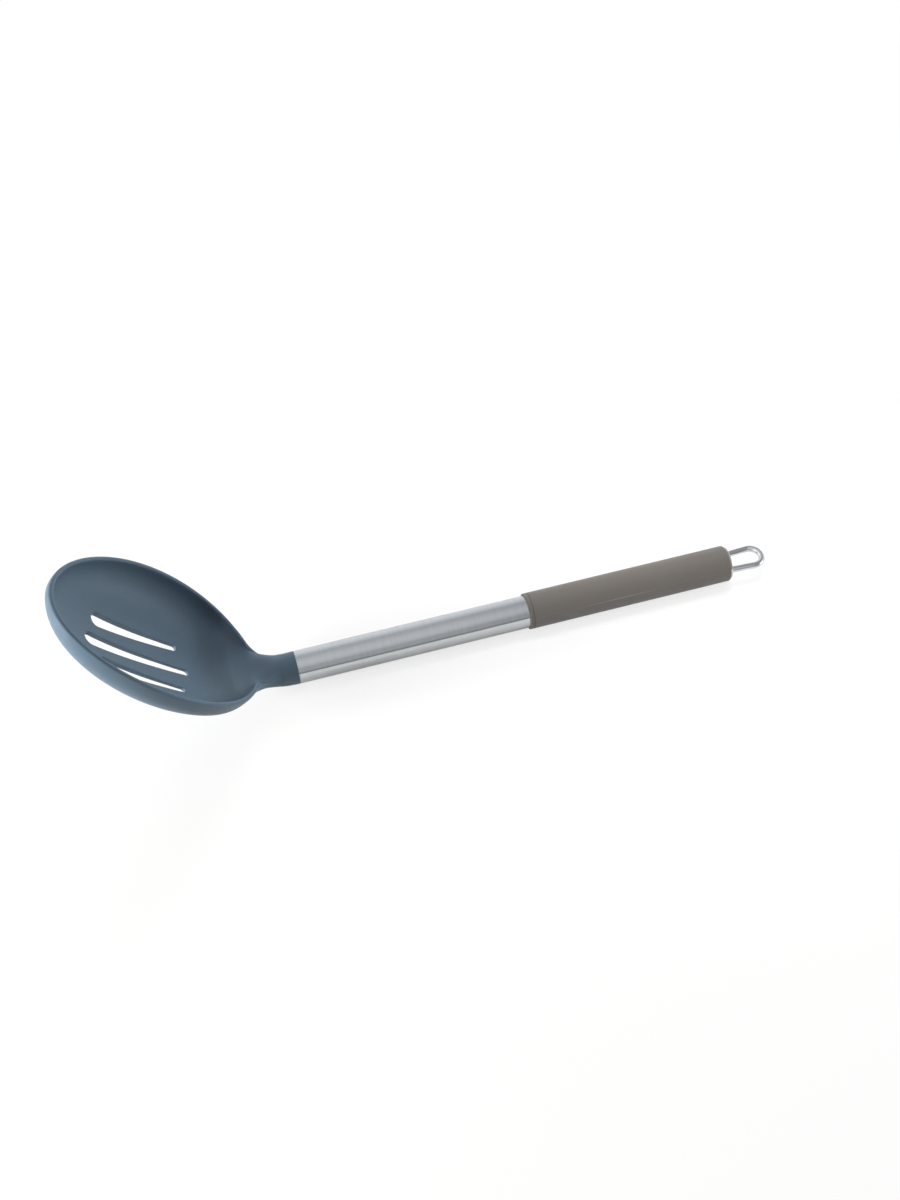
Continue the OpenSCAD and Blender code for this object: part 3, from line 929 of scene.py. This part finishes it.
def seen_directly(tree):
    """1 for rays from the camera and for reflected or refracted rays, 0 for light that is scattered."""
    path = add_node(tree, "ShaderNodeLightPath")
    seen = maths(tree, "MAXIMUM", path.outputs["Is Camera Ray"], path.outputs["Is Glossy Ray"])
    return maths(tree, "MAXIMUM", seen, path.outputs["Is Transmission Ray"]), path


def mixed(tree, share, first, second):
    """A shader between two others, by a share from a socket."""
    node = add_node(tree, "ShaderNodeMixShader")
    tree.links.new(share, node.inputs["Fac"])
    tree.links.new(first.outputs[0], node.inputs[1])
    tree.links.new(second.outputs[0], node.inputs[2])
    return node


def white_floor():
    """A square of floor: white with a shadow to the camera, duller in reflections and for scattered light."""
    mesh = bpy.data.meshes.new("studio_floor")
    corners = FLOOR_HALF * np.array([(-1, -1), (1, -1), (1, 1), (-1, 1)])
    mesh.from_pydata([(x, y, 0.0) for x, y in corners.tolist()], [], [(0, 1, 2, 3)])
    material = bpy.data.materials.new("floor_white")
    material.use_nodes = True
    tree = material.node_tree
    tree.nodes.clear()
    paint, dull, bounce = (add_node(tree, "ShaderNodeBsdfDiffuse", inputs={"Color": colour})
                           for colour in (WHITE_PAINT, DULL_PAINT, BOUNCE_PAINT))
    glow = add_node(tree, "ShaderNodeEmission", inputs={"Color": (1, 1, 1, 1), "Strength": 1.0})
    away = add_node(tree, "ShaderNodeVectorMath", operation="LENGTH")
    tree.links.new(add_node(tree, "ShaderNodeTexCoord").outputs["Object"], away.inputs[0])
    share = add_node(tree, "ShaderNodeMapRange", interpolation_type="SMOOTHSTEP",
                     inputs={"From Min": SHADOW_REACH[0], "From Max": SHADOW_REACH[1],
                             "To Min": SHADOW_SHARE, "To Max": 0.0})
    tree.links.new(away.outputs["Value"], share.inputs["Value"])
    looked_at = mixed(tree, share.outputs["Result"], glow, paint)
    seen, path = seen_directly(tree)
    shown = mixed(tree, path.outputs["Is Camera Ray"], dull, looked_at)
    surface = mixed(tree, seen, bounce, shown)
    out = add_node(tree, "ShaderNodeOutputMaterial")
    tree.links.new(surface.outputs[0], out.inputs["Surface"])
    mesh.materials.append(material)
    obj = bpy.data.objects.new("studio_floor", mesh)
    bpy.context.scene.collection.objects.link(obj)
    return obj


floor = white_floor()
print("floor", [round(v, 2) for v in floor.dimensions])

# %% [markdown]
# ## The world
#
# The walls of a studio light the tool evenly and show again in its polished parts. One picture of a room
# could do both, but then each change to a reflection would change the shading too. So scattered light gets
# an even dome, the camera sees white, and reflections see a room: a grey that changes from the front over
# the top to the back, brighter at the end where the bowl is, with a dark corner that gives the wire its
# contrast, and two soft windows that put the broad gloss on the bowl.

# %% The world
DOME_STRENGTH = 0.33
ROOM_STOPS = ((0, 0.14), (5, 0.16), (8, 0.52), (36, 0.55), (50, 0.74), (70, 0.82), (93, 0.74), (110, 0.64),
              (126, 0.63), (138, 0.82), (158, 1.0), (180, 1.08))
ROOM_TINT = (0.985, 1.0, 1.02)
END_STOPS = ((-1.0, 0.9), (-0.6, 0.9), (-0.4, 0.5), (0.22, 0.5), (0.32, 0.24), (0.6, 0.24), (0.75, 0.5),
             (1.0, 0.5))
END_GAIN = 2.0
WINDOWS = (((0.938, -0.342, 0.052), 3.2), ((-0.99, 0.02, 0.12), 4.5))
WINDOW_EDGE = (0.94, 0.99)


def grey_ramp(tree, value, stops):
    """A grey by a value, through stops of (place from 0 to 1, grey)."""
    ramp = add_node(tree, "ShaderNodeValToRGB")
    tree.links.new(value, ramp.inputs["Fac"])
    while len(ramp.color_ramp.elements) < len(stops):
        ramp.color_ramp.elements.new(1.0)
    for element, (place, grey) in zip(ramp.color_ramp.elements, stops):
        element.position = place
        element.color = (grey, grey, grey, 1)
    return ramp.outputs["Color"]


def room_light(tree):
    """What a reflection shows: grey by the angle over the room, times its ends, plus its windows."""
    way = add_node(tree, "ShaderNodeTexCoord").outputs["Generated"]
    split = add_node(tree, "ShaderNodeSeparateXYZ")
    tree.links.new(way, split.inputs[0])
    ahead = maths(tree, "MULTIPLY", split.outputs["Y"], -1.0)
    turn = maths(tree, "DIVIDE", maths(tree, "ARCTAN2", split.outputs["Z"], ahead), math.pi)
    over = grey_ramp(tree, turn, [(degrees / 180, grey) for degrees, grey in ROOM_STOPS])
    along = add_node(tree, "ShaderNodeMapRange", inputs={"From Min": -1.0})
    tree.links.new(split.outputs["X"], along.inputs["Value"])
    ends = grey_ramp(tree, along.outputs["Result"], [((x + 1) / 2, grey) for x, grey in END_STOPS])
    room = maths(tree, "MULTIPLY", maths(tree, "MULTIPLY", over, ends), END_GAIN)
    for aim, glow in WINDOWS:
        facing = add_node(tree, "ShaderNodeVectorMath", operation="DOT_PRODUCT")
        facing.inputs[1].default_value = aim
        tree.links.new(way, facing.inputs[0])
        window = add_node(tree, "ShaderNodeMapRange", interpolation_type="SMOOTHSTEP",
                          inputs={"From Min": WINDOW_EDGE[0], "From Max": WINDOW_EDGE[1], "To Max": glow})
        tree.links.new(facing.outputs["Value"], window.inputs["Value"])
        room = maths(tree, "ADD", room, window.outputs["Result"])
    return room


def studio_world():
    """A dome: even for scattered light, white to the camera, and a room in reflections."""
    world = bpy.data.worlds.new("studio_dome")
    bpy.context.scene.world = world
    world.use_nodes = True
    tree = world.node_tree
    tree.nodes.clear()
    dome, white, room = (add_node(tree, "ShaderNodeBackground", inputs={"Color": (1, 1, 1, 1)})
                         for _ in range(3))
    dome.inputs["Strength"].default_value = DOME_STRENGTH
    room.inputs["Color"].default_value = (*ROOM_TINT, 1)
    tree.links.new(room_light(tree), room.inputs["Strength"])
    seen, path = seen_directly(tree)
    shown = mixed(tree, path.outputs["Is Camera Ray"], room, white)
    out = add_node(tree, "ShaderNodeOutputWorld")
    tree.links.new(mixed(tree, seen, dome, shown).outputs[0], out.inputs["Surface"])
    return world


world = studio_world()
print("world", world.name)

# %% [markdown]
# ## The lamps
#
# Two soft lamps stand low at the two ends of the tool: one shades the inside of the bowl off towards the
# neck, the other lights its outside. A third, behind, lifts the lip and the top of the neck, and a small
# one with a grid lights the grip alone. A single large lamp above would flatten the bowl. Reflections don't
# show the lamps, because the room has windows for that.

# %% The lamps


def softbox(name, place, aim, size, power, spread=180, tint=(1, 1, 1)):
    """A square lamp at a place, turned to its aim, with a grid that limits its spread in degrees."""
    lamp = bpy.data.lights.new(name, "AREA")
    lamp.energy, lamp.size, lamp.spread, lamp.color = power, size, math.radians(spread), tint
    obj = bpy.data.objects.new(name, lamp)
    bpy.context.scene.collection.objects.link(obj)
    obj.location = place
    obj.rotation_euler = (Vector(aim) - Vector(place)).to_track_quat("-Z", "Y").to_euler()
    obj.visible_glossy = False
    return obj


BOWL_MIDDLE, GRIP_MIDDLE = (-0.12, 0.0, 0.05), (0.1, 0.0, 0.01)
softbox("key_right", place=(1.18, -0.2, 0.29), aim=BOWL_MIDDLE, size=0.45, power=13.0)
softbox("key_left", place=(-1.19, -0.08, 0.26), aim=BOWL_MIDDLE, size=0.5, power=33.5, tint=(1.0, 0.98, 0.95))
softbox("rim_back", place=(0.32, 0.94, 0.5), aim=BOWL_MIDDLE, size=0.6, power=8.5)
softbox("top_grip", place=(0.14, 0.12, 0.55), aim=GRIP_MIDDLE, size=0.2, power=0.06, spread=25)

# %% [markdown]
# ## The camera
#
# The camera stands where the photograph was taken from. Its place and its three directions were worked out
# from the outline of the bowl and the edges of the tube, and are given from the junction.

# %% The camera
LENS_MM, SENSOR_MM = 48.0, 36.0
CLIP = (0.01, 20.0)
EYE = JUNCTION + np.array([-41.77, -455.57, 589.59])
RIGHT = np.array([0.9602, -0.2781, -0.0262])
LOOK = np.array([0.1580, 0.6181, -0.7701])


def photo_camera():
    """A camera whose matrix has the right, upward and backward directions as its columns."""
    look = LOOK / np.linalg.norm(LOOK)
    up = np.cross(RIGHT, look)
    up /= np.linalg.norm(up)
    right = np.cross(look, up)
    matrix = np.eye(4)
    matrix[:3, 0], matrix[:3, 1], matrix[:3, 2], matrix[:3, 3] = right, up, -look, EYE * MM
    camera = bpy.data.cameras.new("photo_camera")
    camera.lens, camera.sensor_width = LENS_MM, SENSOR_MM
    camera.clip_start, camera.clip_end = CLIP
    obj = bpy.data.objects.new("photo_camera", camera)
    bpy.context.scene.collection.objects.link(obj)
    obj.matrix_world = Matrix(matrix.tolist())
    return obj


bpy.context.scene.camera = photo_camera()
bpy.context.scene.view_settings.view_transform = "Standard"
print("camera", np.round(bpy.context.scene.camera.location, 4))
